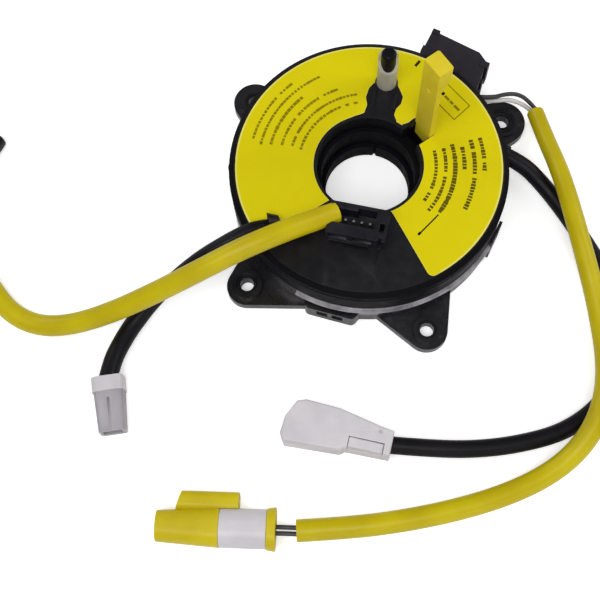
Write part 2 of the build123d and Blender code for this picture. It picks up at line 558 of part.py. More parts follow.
# ---------------------------------------------------------------- the whole part
def build():
    parts["base_plate"] = base_plate()
    parts["case_ring"] = case_ring()
    parts["outlet_housing"] = outlet_housing()
    parts["outlet_cover"] = outlet_cover()
    parts["terminal_carrier"], parts["outlet_terminals"] = outlet_terminals()
    parts["lower_slip_sheet"] = slip_sheet(FLOOR_TOP, FLOOR_TOP + 0.2, 22.6, 49.5)
    parts["flat_cable"] = ribbon()
    parts["inner_cable_clamp"], parts["outer_cable_clamp"] = ribbon_ends()
    parts["body_lead_grommet"] = body_lead_grommet()

    parts["rotor"] = rotor()
    parts["upper_slip_sheet"] = slip_sheet(ROTOR_TOP - DISC_T - 0.2, ROTOR_TOP - DISC_T, 28.0, 49.0)
    parts["switch_connector"] = switch_connector()
    parts["connector_pins"] = connector_pins()
    parts["lead_outlet"] = lead_outlet()
    parts["post"] = post()
    parts["post_sleeve"] = post_sleeve()
    parts["hub_retainer"] = hub_retainer()
    parts["label"] = label()
    parts["lock_tab"] = lock_tab()

    for name, (r, route) in ROUTES.items():
        parts[name] = lead(name, route, r)
    # the airbag sleeve's end lies flat on the connector's left side
    end_face = along(CONN_AXIS) * slab(CONN_IN - 9, CONN_OUT + 5, CONN_LEFT, CONN_RIGHT, 20, 40)
    parts["wheel_airbag_sleeve"] -= end_face
    parts["column_airbag_tail"] = column_airbag_tail()
    parts.update(column_airbag_plug())
    parts.update(body_plug())
    parts.update(horn_plug())
    parts["wheel_airbag_plug"] = wheel_airbag_plug()


os.makedirs("parts", exist_ok=True)
build()
for node, solid in parts.items():
    export_step(solid, f"parts/{node}.step")
print(len(parts), "nodes")
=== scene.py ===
# %% [markdown]
# # A steering clock spring
# A clock spring sits behind a steering wheel. Its round case is screwed to the steering column by four ears,
# and its rotor turns with the wheel. A flat cable wound inside keeps the airbag and the switches connected.
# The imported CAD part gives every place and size. This script dresses it: edges, finishes, print and leads.

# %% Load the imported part
import json
import math

import bmesh
import bpy
import numpy as np
from mathutils import Matrix, Vector

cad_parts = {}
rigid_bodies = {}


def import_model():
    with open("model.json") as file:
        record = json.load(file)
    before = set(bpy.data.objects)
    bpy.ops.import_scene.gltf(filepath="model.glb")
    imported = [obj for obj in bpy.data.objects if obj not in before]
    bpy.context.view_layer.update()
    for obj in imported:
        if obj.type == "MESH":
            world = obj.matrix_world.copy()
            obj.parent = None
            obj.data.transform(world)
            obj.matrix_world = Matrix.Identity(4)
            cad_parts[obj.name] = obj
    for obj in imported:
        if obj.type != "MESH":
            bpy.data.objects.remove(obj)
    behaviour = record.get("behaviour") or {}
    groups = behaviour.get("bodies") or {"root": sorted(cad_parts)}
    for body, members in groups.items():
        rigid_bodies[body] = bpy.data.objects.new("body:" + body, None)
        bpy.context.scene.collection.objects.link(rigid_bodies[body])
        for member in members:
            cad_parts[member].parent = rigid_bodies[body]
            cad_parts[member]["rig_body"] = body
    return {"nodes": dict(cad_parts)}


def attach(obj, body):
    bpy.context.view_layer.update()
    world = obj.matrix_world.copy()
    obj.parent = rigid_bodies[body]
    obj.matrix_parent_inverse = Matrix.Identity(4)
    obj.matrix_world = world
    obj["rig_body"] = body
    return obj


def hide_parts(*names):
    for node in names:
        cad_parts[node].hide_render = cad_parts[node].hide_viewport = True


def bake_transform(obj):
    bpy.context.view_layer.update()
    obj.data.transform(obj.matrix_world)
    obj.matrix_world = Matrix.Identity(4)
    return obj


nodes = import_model()["nodes"]
MM = 0.001
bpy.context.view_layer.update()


# %% Small helpers for every cell
def placed(name, data):
    """A new object that shows this data, linked to the scene."""
    thing = bpy.data.objects.new(name, data)
    bpy.context.scene.collection.objects.link(thing)
    return thing


def smooth_but(mesh, angle, flat=0):
    """Smooth shading that breaks at edges sharper than angle, in degrees. The last flat faces stay flat."""
    for face in mesh.polygons:
        face.use_smooth = face.index < len(mesh.polygons) - flat
    mesh.set_sharp_from_angle(angle=math.radians(angle))


def set_all(node, values):
    """Sets constants on a node's own sockets."""
    for entry, value in values.items():
        node.inputs[entry].default_value = value


def new_paint(name):
    """A new material, with its node tree and its shader."""
    paint = bpy.data.materials.new(name)
    paint.use_nodes = True
    return paint, paint.node_tree, paint.node_tree.nodes["Principled BSDF"]


# %% [markdown]
# ## Camera, floor and light
# The part lies on a white table and is seen steeply from the front, about 71 degrees above the table. The
# camera's place and its three axes are written out, so that the picture's frame never depends on a helper.
# A wide soft lamp above gives most of the light, two more round off the far sides, and a long low strip in
# front draws bright lines on the walls. Black plastic gets its shape from what it mirrors, so the world stays
# dim. The table and the world look white to the camera only, as a background lamp makes a white sweep.

# %% Camera
CAMERA_SPOT = Vector((-29.95, -176.45, 399.35))
RIGHT = Vector((0.99610, -0.08363, -0.02816))
UP = Vector((0.08824, 0.94402, 0.31785))
FORWARD = Vector((0, 0.31910, -0.94772))
camera = placed("camera", bpy.data.cameras.new("camera"))
camera.data.sensor_width = 36
camera.data.lens = 66
camera.data.clip_start = 0.01
axes = Matrix((RIGHT, UP, -FORWARD)).transposed()
camera.matrix_world = Matrix.Translation(CAMERA_SPOT * MM) @ axes.to_4x4()
bpy.context.scene.camera = camera

# %% Floor, lamps and world
TABLE_HALF, TABLE_TOP = 3.0, -0.0002
TABLE_LIFT = 0.42
ROOM_LIGHT, ROOM_SEEN = 0.22, 1.0
# name, place, width, height and power; all of them aim at the middle of the part
LAMPS = (
    ("overhead_soft_box", (-0.25, -0.45, 1.15), 0.9, 0.6, 8.6),
    ("side_soft_box", (0.95, 0.25, 0.85), 0.7, 0.7, 5),
    ("back_soft_box", (-0.75, 0.85, 0.75), 0.7, 0.5, 3.5),
    ("low_front_strip", (0.35, -1.3, 0.42), 1.9, 0.38, 4.5),
)


def for_the_camera(tree, entry, usual, seen):
    """Gives a socket one strength for the light on the part, and another for what the camera sees of it."""
    ray = tree.nodes.new("ShaderNodeLightPath")
    amount = tree.nodes.new("ShaderNodeMapRange")
    set_all(amount, {"To Min": usual, "To Max": seen})
    tree.links.new(ray.outputs["Is Camera Ray"], amount.inputs["Value"])
    tree.links.new(amount.outputs["Result"], entry)


def white_table_top():
    """A matt white sheet under the part, as one face."""
    paint, tree, shader = new_paint("white_table")
    set_all(shader, {"Base Color": (0.93, 0.93, 0.94, 1), "Roughness": 0.9, "Specular IOR Level": 0.1,
                     "Emission Color": (1, 1, 1, 1)})
    for_the_camera(tree, shader.inputs["Emission Strength"], 0.0, TABLE_LIFT)
    mesh = bpy.data.meshes.new("table_top")
    corners = [(x * TABLE_HALF, y * TABLE_HALF, TABLE_TOP) for x, y in ((-1, -1), (1, -1), (1, 1), (-1, 1))]
    mesh.from_pydata(corners, [], [(0, 1, 2, 3)])
    mesh.materials.append(paint)
    return placed("table_top", mesh)


white_table_top()
for name, place, width, height, power in LAMPS:
    lamp = placed(name, bpy.data.lights.new(name, "AREA"))
    lamp.data.shape = "RECTANGLE"
    lamp.data.size = width
    lamp.data.size_y = height
    lamp.data.energy = power
    lamp.location = place
    lamp.rotation_euler = (-Vector(place)).to_track_quat("-Z", "Y").to_euler()
world = bpy.data.worlds.new("dim_room")
world.use_nodes = True
room = world.node_tree.nodes["Background"]
set_all(room, {"Color": (1, 1, 1, 1)})
for_the_camera(world.node_tree, room.inputs["Strength"], ROOM_LIGHT, ROOM_SEEN)
bpy.context.scene.world = world
bpy.context.scene.view_settings.view_transform = "Standard"

# %% [markdown]
# ## Finishes
# Nearly everything here is moulded plastic. The finishes differ in colour, in gloss, and in how grained the
# mould was. One function makes them all: a slow noise shifts the colour a little, another one the
# roughness, and a fine one raises the grain. All three read Object coordinates, so nothing slides.

# %% A finish made of three noises
NOISE_LOW, NOISE_HIGH = 0.3, 0.7
SMUDGE_SIZE = 3.5


def from_screen(red, green, blue):
    """A colour picked as 0 to 255 on a screen, as the linear numbers that shaders use."""
    linear = []
    for value in (red, green, blue):
        share = value / 255
        linear.append(share / 12.92 if share <= 0.04045 else ((share + 0.055) / 1.055) ** 2.4)
    return (*linear, 1.0)


def moulded(name, light, dark, gloss, grain, grain_size, drift_size=14.0, coat=0.0, soft=0.0, shine=0.5,
            clear=0.0, metal=0.0):
    """Moulded plastic between two screen colours.

    gloss is the least and most roughness. grain is how deep the mould's texture is, grain_size how wide, and
    drift_size how wide the slow changes of colour are, all in millimetres. The rest are the shader's shares.
    """
    paint, tree, shader = new_paint(name)
    place = tree.nodes.new("ShaderNodeTexCoord")

    def noise(size, detail):
        cloud = tree.nodes.new("ShaderNodeTexNoise")
        set_all(cloud, {"Scale": 1 / (size * MM), "Detail": detail})
        tree.links.new(place.outputs["Object"], cloud.inputs["Vector"])
        return cloud

    drift, smudge, texture = noise(drift_size, 4), noise(SMUDGE_SIZE, 6), noise(grain_size, 3)
    tint = tree.nodes.new("ShaderNodeValToRGB")
    for stop, level, colour in zip(tint.color_ramp.elements, (NOISE_LOW, NOISE_HIGH), (dark, light)):
        stop.position = level
        stop.color = from_screen(*colour)
    polish = tree.nodes.new("ShaderNodeMapRange")
    set_all(polish, {"From Min": NOISE_LOW, "From Max": NOISE_HIGH, "To Min": gloss[0], "To Max": gloss[1]})
    bump = tree.nodes.new("ShaderNodeBump")
    set_all(bump, {"Strength": 0.3, "Distance": grain * MM})
    for output, entry in ((drift.outputs["Fac"], tint.inputs["Fac"]),
                          (tint.outputs["Color"], shader.inputs["Base Color"]),
                          (smudge.outputs["Fac"], polish.inputs["Value"]),
                          (polish.outputs["Result"], shader.inputs["Roughness"]),
                          (texture.outputs["Fac"], bump.inputs["Height"]),
                          (bump.outputs["Normal"], shader.inputs["Normal"])):
        tree.links.new(output, entry)
    set_all(shader, {"Coat Weight": coat, "Coat Roughness": 0.12, "Specular IOR Level": shine,
                     "Subsurface Weight": soft, "Subsurface Radius": (1.0, 0.8, 0.4),
                     "Subsurface Scale": 0.8 * MM, "Metallic": metal, "Alpha": 1 - clear})
    return paint


# %% The finishes of this part
case_black = moulded("case_black_nylon", (27, 26, 30), (17, 16, 20), (0.2, 0.34), 0.03, 0.7)
wall_dull = moulded("wall_grained_nylon", (19, 18, 22), (12, 11, 14), (0.4, 0.55), 0.03, 0.7, shine=0.07)
wall_polished = moulded("wall_polished_nylon", (27, 26, 30), (17, 16, 20), (0.1, 0.2), 0.02, 0.7,
                        coat=0.5, shine=0.6)
# the wall rib's light grey is a painted highlight: it stands for the bright reflection along the front of the
# black case wall
rib_painted_highlight = moulded("rib_painted_highlight_nylon", (156, 153, 160), (98, 95, 102), (0.14, 0.3), 0.03, 0.8, 5.0,
                   coat=0.5, shine=0.6)
rotor_black = moulded("rotor_black_acetal", (23, 21, 26), (13, 12, 16), (0.28, 0.4), 0.012, 0.9, shine=0.3)
# darker than the rotor's own black, inside the bore and on the rim: painted shade, along with a duller gloss
bore_shaded_black = moulded("dull_shaded_black_acetal", (18, 16, 20), (11, 10, 13), (0.5, 0.65), 0.02, 0.9, shine=0.05)
post_black = moulded("post_dull_acetal", (15, 13, 17), (9, 8, 11), (0.4, 0.52), 0.02, 0.9, shine=0.12)
outlet_black = moulded("outlet_black_nylon", (38, 34, 42), (25, 22, 29), (0.42, 0.55), 0.04, 0.5, shine=0.3)
socket_black = moulded("socket_black", (24, 22, 32), (14, 13, 20), (0.34, 0.48), 0.03, 0.5, shine=0.3)
label_film = moulded("label_yellow_film", (217, 203, 3), (210, 195, 2), (0.26, 0.34), 0.006, 2.2, 26.0, 0.06,
                     shine=0.2)
# a paler finish for the label's cut edge: a painted highlight line along it
label_edge_highlight = moulded("label_cut_edge_highlight", (231, 223, 120), (221, 211, 96), (0.3, 0.4), 0.006, 1.0, shine=0.3)
lock_plastic = moulded("lock_pale_yellow", (226, 206, 48), (210, 190, 34), (0.4, 0.52), 0.03, 0.6,
                       soft=0.15, shine=0.25)
sleeve_vinyl = moulded("sleeve_yellow_vinyl", (199, 183, 7), (183, 165, 4), (0.3, 0.42), 0.05, 2.4, 18.0,
                       soft=0.1, shine=0.22)
plug_yellow = moulded("plug_yellow", (209, 191, 16), (192, 173, 11), (0.34, 0.46), 0.03, 0.7,
                      soft=0.12, shine=0.25)
plug_white = moulded("plug_white_nylon", (211, 207, 211), (194, 190, 195), (0.34, 0.5), 0.03, 0.6, soft=0.15)
plug_grey = moulded("plug_grey_nylon", (165, 161, 167), (148, 144, 150), (0.34, 0.5), 0.03, 0.6, soft=0.15)
# a paler finish for the plugs' rounded edges: a painted highlight, for the light that milky nylon lets
# through at its edges
plug_edge_highlight = moulded("plug_edge_highlight_nylon", (222, 219, 222), (206, 203, 207), (0.3, 0.42), 0.02, 0.6, soft=0.2)
plug_black = moulded("plug_black", (17, 15, 19), (10, 9, 12), (0.36, 0.48), 0.03, 0.6, shine=0.2)
lead_black = moulded("lead_black_vinyl", (21, 18, 23), (12, 10, 14), (0.36, 0.5), 0.03, 1.6, shine=0.16)
wire_grey = moulded("wire_dark_grey", (58, 56, 60), (42, 40, 44), (0.35, 0.5), 0.02, 0.8)
wire_white = moulded("wire_white", (222, 218, 216), (200, 195, 192), (0.35, 0.5), 0.02, 0.8)
milky_tube = moulded("milky_tube", (206, 203, 192), (190, 186, 172), (0.35, 0.5), 0.02, 0.8,
                     soft=0.2, clear=0.35)
film_white = moulded("slip_film_white", (228, 228, 226), (214, 214, 212), (0.3, 0.4), 0.01, 1.0)
ribbon_film = moulded("flat_cable_film", (34, 29, 28), (22, 18, 18), (0.4, 0.5), 0.01, 1.0, shine=0.2)
print_ink = moulded("print_olive_ink", (146, 132, 10), (122, 109, 8), (0.5, 0.6), 0.004, 0.5, shine=0.08)
print_bold = moulded("print_bold_ink", (104, 93, 14), (76, 67, 12), (0.5, 0.6), 0.004, 0.5, shine=0.08)
print_dark = moulded("print_dark_ink", (50, 43, 16), (36, 30, 12), (0.5, 0.6), 0.004, 0.5, shine=0.08)
contact_tin = moulded("contact_tin", (214, 212, 206), (188, 184, 176), (0.22, 0.34), 0.01, 0.4, metal=1.0)

FINISH_OF_NODE = {
    "base_plate": case_black, "case_ring": wall_dull, "hub_retainer": case_black,
    "outlet_cover": outlet_black, "outlet_housing": outlet_black, "terminal_carrier": film_white,
    "outlet_terminals": contact_tin, "lower_slip_sheet": ribbon_film, "upper_slip_sheet": film_white,
    "flat_cable": ribbon_film, "inner_cable_clamp": film_white, "outer_cable_clamp": film_white,
    "body_lead_grommet": lead_black, "rotor": rotor_black, "lead_outlet": rotor_black, "post": post_black,
    "post_sleeve": milky_tube, "switch_connector": socket_black, "connector_pins": contact_tin,
    "label": label_film, "lock_tab": lock_plastic, "body_plug_housing": plug_white,
    "body_plug_retainer": plug_white, "body_plug_terminals": contact_tin, "horn_plug_housing": plug_grey,
    "horn_plug_terminals": contact_tin, "wheel_airbag_plug": plug_black,
    "column_airbag_plug_cap": plug_yellow, "column_airbag_plug_collar": plug_white,
    "column_airbag_plug_body": plug_yellow, "body_lead": lead_black, "horn_lead": lead_black,
    "wheel_airbag_sleeve": sleeve_vinyl, "column_airbag_sleeve": sleeve_vinyl,
    "column_airbag_tail": wire_grey, "column_airbag_wire_a": wire_grey, "column_airbag_wire_b": wire_white,
}
for name, paint in FINISH_OF_NODE.items():
    nodes[name].data.materials.clear()
    nodes[name].data.materials.append(paint)
print(len(FINISH_OF_NODE), "nodes painted")

# %% [markdown]
# ## Soft edges on the moulded pieces
# A moulded edge is never a knife edge: it has a small radius, and that radius catches a thin line of light.
# The CAD solids leave it out. Here each piece's mesh is copied, its loose triangles are merged into whole
# faces, and a Bevel modifier rounds the sharp edges. The copy then stands for the CAD node.

# %% Bevelled copies
WELD_GAP, CUT_GAP = 0.002 * MM, 0.001 * MM
# degrees: faces that turn by less are merged, edges that turn by more are rounded
FLAT_ANGLE, SHARP_ANGLE = 1.0, 32


def soft_edged(name, width, steps=2, edge_highlight_paint=None, second_paint=None, where=None, cuts=()):
    """A copy of a CAD node with rounded edges; it rides on the node's body and replaces it.

    The edge finish, if given, is paler and goes on the rounded edges as a painted highlight line.
    second_paint goes on the faces that where picks by their middle, in millimetres, once the mesh is cut
    level at the heights in cuts.
    """
    node = nodes[name]
    mesh = node.data.copy()
    work = bmesh.new()
    work.from_mesh(mesh)
    bmesh.ops.remove_doubles(work, verts=work.verts, dist=WELD_GAP)
    bmesh.ops.dissolve_limit(work, angle_limit=math.radians(FLAT_ANGLE), verts=work.verts,
                             edges=work.edges, delimit={"MATERIAL"})
    for height in cuts:
        bmesh.ops.bisect_plane(work, geom=work.verts[:] + work.edges[:] + work.faces[:], dist=CUT_GAP,
                               plane_co=(0, 0, height * MM), plane_no=(0, 0, 1))
    if second_paint:
        mesh.materials.append(second_paint)
        for face in work.faces:
            face.material_index = int(where(face.calc_center_median() / MM))
    work.to_mesh(mesh)
    work.free()
    piece = placed(name + "_soft", mesh)
    bevel = piece.modifiers.new("edges", "BEVEL")
    bevel.width = width * MM
    bevel.segments = steps
    bevel.limit_method = "ANGLE"
    bevel.angle_limit = math.radians(SHARP_ANGLE)
    bevel.harden_normals = True
    # the edge finish paints a highlight line on the rounded edges
    if edge_highlight_paint:
        mesh.materials.append(edge_highlight_paint)
        bevel.material = len(mesh.materials) - 1
    smooth_but(mesh, SHARP_ANGLE)
    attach(piece, node["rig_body"])
    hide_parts(name)
    return piece


# %% Faces with a second finish, and the pieces to round
# the rotor is duller inside its bore and on its outermost rim, and its colour there is darker as painted
# shade
BORE_TOP, BORE_R, RIM_R = 25.6, 21.9, 50.6
# the case wall is polished in one band between two heights
WALL_LOW, WALL_HIGH, WALL_R = 4.6, 13.4, 51.9
# the rear of the horn lead's plug, as far as this y, is whiter
COLLAR_FRONT = -74.4


def in_bore_or_on_rim(spot):
    away = math.hypot(spot.x, spot.y)
    return (spot.z < BORE_TOP and away < BORE_R) or away > RIM_R


def on_low_wall(spot):
    return WALL_LOW < spot.z < WALL_HIGH and math.hypot(spot.x, spot.y) > WALL_R


def on_horn_plug_collar(spot):
    return spot.y > COLLAR_FRONT


EDGE_WIDTHS = {
    "base_plate": 0.3, "case_ring": 0.25, "outlet_housing": 0.3, "rotor": 0.2, "switch_connector": 0.18,
    "post": 1.2, "lock_tab": 0.35, "body_plug_housing": 0.4, "body_plug_retainer": 0.25,
    "horn_plug_housing": 0.4, "column_airbag_plug_cap": 0.4, "column_airbag_plug_collar": 0.3,
    "column_airbag_plug_body": 0.5, "wheel_airbag_plug": 0.3, "lead_outlet": 0.6, "hub_retainer": 0.25,
    "label": 0.15,
}
EXTRAS = {
    "rotor": {"second_paint": bore_shaded_black, "where": in_bore_or_on_rim},
    "case_ring": {"second_paint": wall_polished, "where": on_low_wall, "cuts": (WALL_LOW, WALL_HIGH)},
    "horn_plug_housing": {"second_paint": plug_white, "where": on_horn_plug_collar, "edge_highlight_paint": plug_edge_highlight},
    "body_plug_housing": {"edge_highlight_paint": plug_edge_highlight}, "body_plug_retainer": {"edge_highlight_paint": plug_edge_highlight},
    "label": {"edge_highlight_paint": label_edge_highlight, "steps": 1},
}
soft = {}
for name, width in EDGE_WIDTHS.items():
    soft[name] = soft_edged(name, width, **EXTRAS.get(name, {}))
    print(name, "has", len(soft[name].data.polygons), "faces before its bevel")

# %% The hood's nose
# the hood over the horn lead falls away and narrows towards the connector, like the nose of a wedge
HOOD_BACK, HOOD_NOSE, HOOD_MIDDLE, HOOD_LOW = -38.8, -34.4, -20.8, 26.0
NOSE_DROP, NOSE_NARROW = 0.42, 0.45
for v in soft["lead_outlet"].data.vertices:
    share = min(max((v.co.x / MM - HOOD_BACK) / (HOOD_NOSE - HOOD_BACK), 0), 1)
    v.co.z = (HOOD_LOW + (v.co.z / MM - HOOD_LOW) * (1 - NOSE_DROP * share)) * MM
    v.co.y = (HOOD_MIDDLE + (v.co.y / MM - HOOD_MIDDLE) * (1 - NOSE_NARROW * share)) * MM

# %% [markdown]
# ## Turned details
# Each ear has low rings round its screw hole. A rib runs round the front of the case wall as far as a clip,
# painted light grey as a painted highlight on the black wall, and a pale cut edge, painted as a highlight
# line, runs round the label. A turned profile makes each of them.

# %% Turned rings
def turned(name, profile, place, paint, sides=64, first=0, last=360):
    """A closed profile of (radius, height) points in millimetres, turned about an upright axis at place.

    first and last are the angles that it starts and ends at, in degrees. A part turn has a flat face at each
    end.
    """
    count = len(profile)
    whole = last - first >= 360
    rows = sides if whole else sides + 1
    vertices, faces = [], []
    for i in range(rows):
        a = math.radians(first + (last - first) * i / sides)
        for r, z in profile:
            vertices.append(((place[0] + r * math.cos(a)) * MM, (place[1] + r * math.sin(a)) * MM, z * MM))
    for i in range(sides):
        j = (i + 1) % rows
        for k in range(count):
            m = (k + 1) % count
            faces.append((i * count + k, j * count + k, j * count + m, i * count + m))
    if not whole:
        faces.append(tuple(range(count)))
        faces.append(tuple(reversed(range(sides * count, rows * count))))
    mesh = bpy.data.meshes.new(name)
    mesh.from_pydata(vertices, [], faces)
    mesh.materials.append(paint)
    smooth_but(mesh, 40)
    return placed(name, mesh)


def low_ring(r, low, width=0.7, height=0.5):
    """The profile of a ring with a rounded top, sunk a little into what it stands on."""
    w = width / 2
    sunk = low - 0.1
    return ((r - w, sunk), (r + w, sunk), (r + w, low + 0.5 * height), (r + 0.5 * w, low + height),
            (r - 0.5 * w, low + height), (r - w, low + 0.5 * height))


# name: hole radius, hole angle, height of the boss's floor, radii of the rings on it
EAR_RINGS = {"back_left": (58.9, 134.2, 4.2, (3.3,)), "right": (61.1, 22.7, 4.4, (3.2, 4.4)),
             "front_left": (61.0, 215.8, 5.4, (3.3,)), "front_right": (61.7, 285.4, 4.2, (3.2,))}
for ear, (r, angle, low, radii) in EAR_RINGS.items():
    spot = (r * math.cos(math.radians(angle)), r * math.sin(math.radians(angle)))
    for i, ring_r in enumerate(radii):
        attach(turned(f"{ear}_ear_ring_{i + 1}", low_ring(ring_r, low), spot, case_black), "stator")

WALL_RIB = ((52.2, 10.4), (53.2, 10.4), (53.6, 10.8), (53.7, 11.3), (53.6, 11.8), (52.5, 13.0), (52.2, 13.0))
CUT_EDGE = ((49.25, 26.15), (49.75, 26.15), (49.75, 26.22), (49.25, 26.22))
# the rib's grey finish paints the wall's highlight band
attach(turned("case_wall_highlight_rib", WALL_RIB, (0, 0), rib_painted_highlight, 120, -126, -31), "stator")
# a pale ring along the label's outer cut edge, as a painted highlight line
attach(turned("label_highlight_rim", CUT_EDGE, (0, 0), label_edge_highlight, 240, -64.5, 205.5), "rotor")

# %% [markdown]
# ## Print on the label
# The label's print is left as generic marks: rows of short bars on arcs about the bore's axis, a framed
# box with a broken line in it, and a few single strokes. One Geometry Nodes group draws a row. It walks along
# an arc in equal steps, drops some of the marks, and gives each one that is left its own length.

# %% A group that draws one row of bars
def row_group():
    """The node group of a printed row: bars along an arc about the origin."""
    group = bpy.data.node_groups.new("printed_row", "GeometryNodeTree")
    face = group.interface
    face.new_socket("Geometry", in_out="OUTPUT", socket_type="NodeSocketGeometry")
    for label, kind in (("Radius", "Float"), ("Start Angle", "Float"), ("Sweep Angle", "Float"),
                        ("Step", "Float"), ("Bar Size", "Vector"), ("Kept Share", "Float"), ("Seed", "Int")):
        face.new_socket(label, in_out="INPUT", socket_type="NodeSocket" + kind)
    made = {}

    def add(key, kind, values=None, **settings):
        made[key] = group.nodes.new(kind)
        for field, value in settings.items():
            setattr(made[key], field, value)
        set_all(made[key], values or {})

    add("in", "NodeGroupInput")
    add("out", "NodeGroupOutput")
    add("arc", "GeometryNodeCurveArc", {"Resolution": 64}, mode="RADIUS")
    add("steps", "GeometryNodeResampleCurve", mode="LENGTH")
    add("heading", "GeometryNodeInputTangent")
    add("turned", "FunctionNodeAlignRotationToVector", axis="X")
    add("bar", "GeometryNodeMeshCube")
    add("kept", "FunctionNodeRandomValue", data_type="BOOLEAN")
    add("stretch", "FunctionNodeRandomValue", {"Min": (0.6, 0.72, 1), "Max": (1.08, 1.0, 1)},
        data_type="FLOAT_VECTOR")
    add("drop", "GeometryNodeInstanceOnPoints")
    add("real", "GeometryNodeRealizeInstances")
    for source, output, target, entry in (
            ("in", "Radius", "arc", "Radius"), ("in", "Start Angle", "arc", "Start Angle"),
            ("in", "Sweep Angle", "arc", "Sweep Angle"), ("arc", "Curve", "steps", "Curve"),
            ("in", "Step", "steps", "Length"), ("steps", "Curve", "drop", "Points"),
            ("in", "Bar Size", "bar", "Size"), ("bar", "Mesh", "drop", "Instance"),
            ("heading", "Tangent", "turned", "Vector"), ("turned", "Rotation", "drop", "Rotation"),
            ("in", "Kept Share", "kept", "Probability"), ("in", "Seed", "kept", "Seed"),
            ("in", "Seed", "stretch", "Seed"), ("kept", 3, "drop", "Selection"),
            ("stretch", 0, "drop", "Scale"), ("drop", "Instances", "real", "Geometry"),
            ("real", "Geometry", "out", "Geometry")):
        group.links.new(made[source].outputs[output], made[target].inputs[entry])
    return group


def baked(group, values):
    """The mesh that a node group draws with these inputs."""
    carrier = placed("row", bpy.data.meshes.new("row"))
    modifier = carrier.modifiers.new("draw", "NODES")
    modifier.node_group = group
    keys = {item.name: item.identifier for item in group.interface.items_tree if item.in_out == "INPUT"}
    for label, value in values.items():
        modifier[keys[label]] = value
    bpy.context.view_layer.update()
    seen = carrier.evaluated_get(bpy.context.evaluated_depsgraph_get())
    mesh = bpy.data.meshes.new_from_object(seen)
    bpy.data.objects.remove(carrier)
    return mesh


# %% The rows and the few single marks
LABEL_TOP, INK_T = 26.2, 0.04
FIRST_SEED = 3
# radius, first and last angle, step, bar width, kept share
FINE_ROWS = (
    (44.7, 162, 126, 1.6, 1.1, 0.97), (41.3, 162, 112, 1.5, 1.1, 0.98), (37.6, 161, 127, 1.7, 1.3, 0.98),
    (33.5, 159.5, 106, 1.5, 1.15, 0.97), (29.6, 158.5, 94, 1.4, 1.15, 0.98), (26.1, 160, 95, 1.6, 1.15, 0.98))
BOLD_ROWS = (
    (25.1, 9.5, -40.3, 1.3, 1.5, 0.97), (28.7, 6.3, -45.4, 1.4, 1.45, 0.9),
    (32.2, 8.4, -41.5, 1.25, 1.8, 0.98), (35.6, 4.9, -8.0, 1.2, 1.7, 0.98),
    (39.4, 8.4, -10.7, 1.2, 1.75, 0.98), (39.5, -14.4, -32.3, 1.15, 1.8, 0.98),
    (43.0, 8.3, -8.5, 1.2, 1.75, 0.98))
# corners of the printed frame, the line inside it, and where that line's dashes start and end
FRAME = ((33.3, 30.7), (40.5, 20.5), (34.0, 15.3), (26.8, 25.5))
LINE_START, LINE_END = Vector((30.6, 27.3)), Vector((36.3, 18.9))
DASHES = ((0.0, 0.14), (0.2, 0.44), (0.49, 0.66), (0.72, 1.0))
# start, end and width of the single strokes
STROKES = (((22.1, 39.5), (24.1, 41.6), 1.1), ((23.3, -22.7), (15.2, -29.8), 0.55),
           ((16.0, -29.0), (15.0, -29.9), 1.0), ((30.2, 27.7), (31.6, 26.2), 1.3))


def stroke(start, end, width):
    """A straight printed bar between two places on the label, in millimetres."""
    a, b = Vector((*start, 0)), Vector((*end, 0))
    along = (b - a).normalized()
    work = bmesh.new()
    bmesh.ops.create_cube(work, size=1.0)
    place = Matrix.Translation((a + b) / 2 * MM) @ Matrix.Rotation(math.atan2(along.y, along.x), 4, "Z")
    size = Matrix.Diagonal(((b - a).length * MM, width * MM, INK_T * MM, 1))
    bmesh.ops.transform(work, matrix=place @ size, verts=work.verts)
    mesh = bpy.data.meshes.new("stroke")
    work.to_mesh(mesh)
    work.free()
    return mesh


def printed(name, meshes, ink):
    """Several flat meshes as one piece of print, lifted onto the label; it turns with the rotor."""
    work = bmesh.new()
    for mesh in meshes:
        work.from_mesh(mesh)
        bpy.data.meshes.remove(mesh)
    bmesh.ops.translate(work, verts=work.verts, vec=Vector((0, 0, LABEL_TOP + INK_T / 2)) * MM)
    mesh = bpy.data.meshes.new(name)
    work.to_mesh(mesh)
    work.free()
    mesh.materials.append(ink)
    piece = placed(name, mesh)
    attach(piece, "rotor")
    return piece


draw_row = row_group()
for title, row_list, ink in (("label_fine_rows", FINE_ROWS, print_ink),
                             ("label_bold_rows", BOLD_ROWS, print_bold)):
    rows = []
    for seed, (radius, first, last, step, width, kept) in enumerate(row_list, FIRST_SEED):
        rows.append(baked(draw_row, {
            "Radius": radius * MM, "Start Angle": math.radians(first),
            "Sweep Angle": math.radians(last - first), "Step": step * MM,
            "Bar Size": (step * MM, width * MM, INK_T * MM), "Kept Share": kept, "Seed": seed}))
    label_rows = printed(title, rows, ink)
    print(title, "hold", len(label_rows.data.polygons) // 6, "bars")
frame_lines = [stroke(a, b, 0.4) for a, b in zip(FRAME, FRAME[1:] + FRAME[:1])]
frame_lines += [stroke(LINE_START.lerp(LINE_END, a), LINE_START.lerp(LINE_END, b), 1.0) for a, b in DASHES]
printed("label_printed_frame", frame_lines, print_ink)
printed("label_printed_marks", [stroke(*ends_and_width) for ends_and_width in STROKES], print_dark)

# %% [markdown]
# ## Leads
# Each lead is a smooth line near the route that its CAD solid takes, and a tube around that line. The line is
# a NURBS curve with the route's points as its control points. The two leads that leave the rotor end in plugs
# that lie on the table.

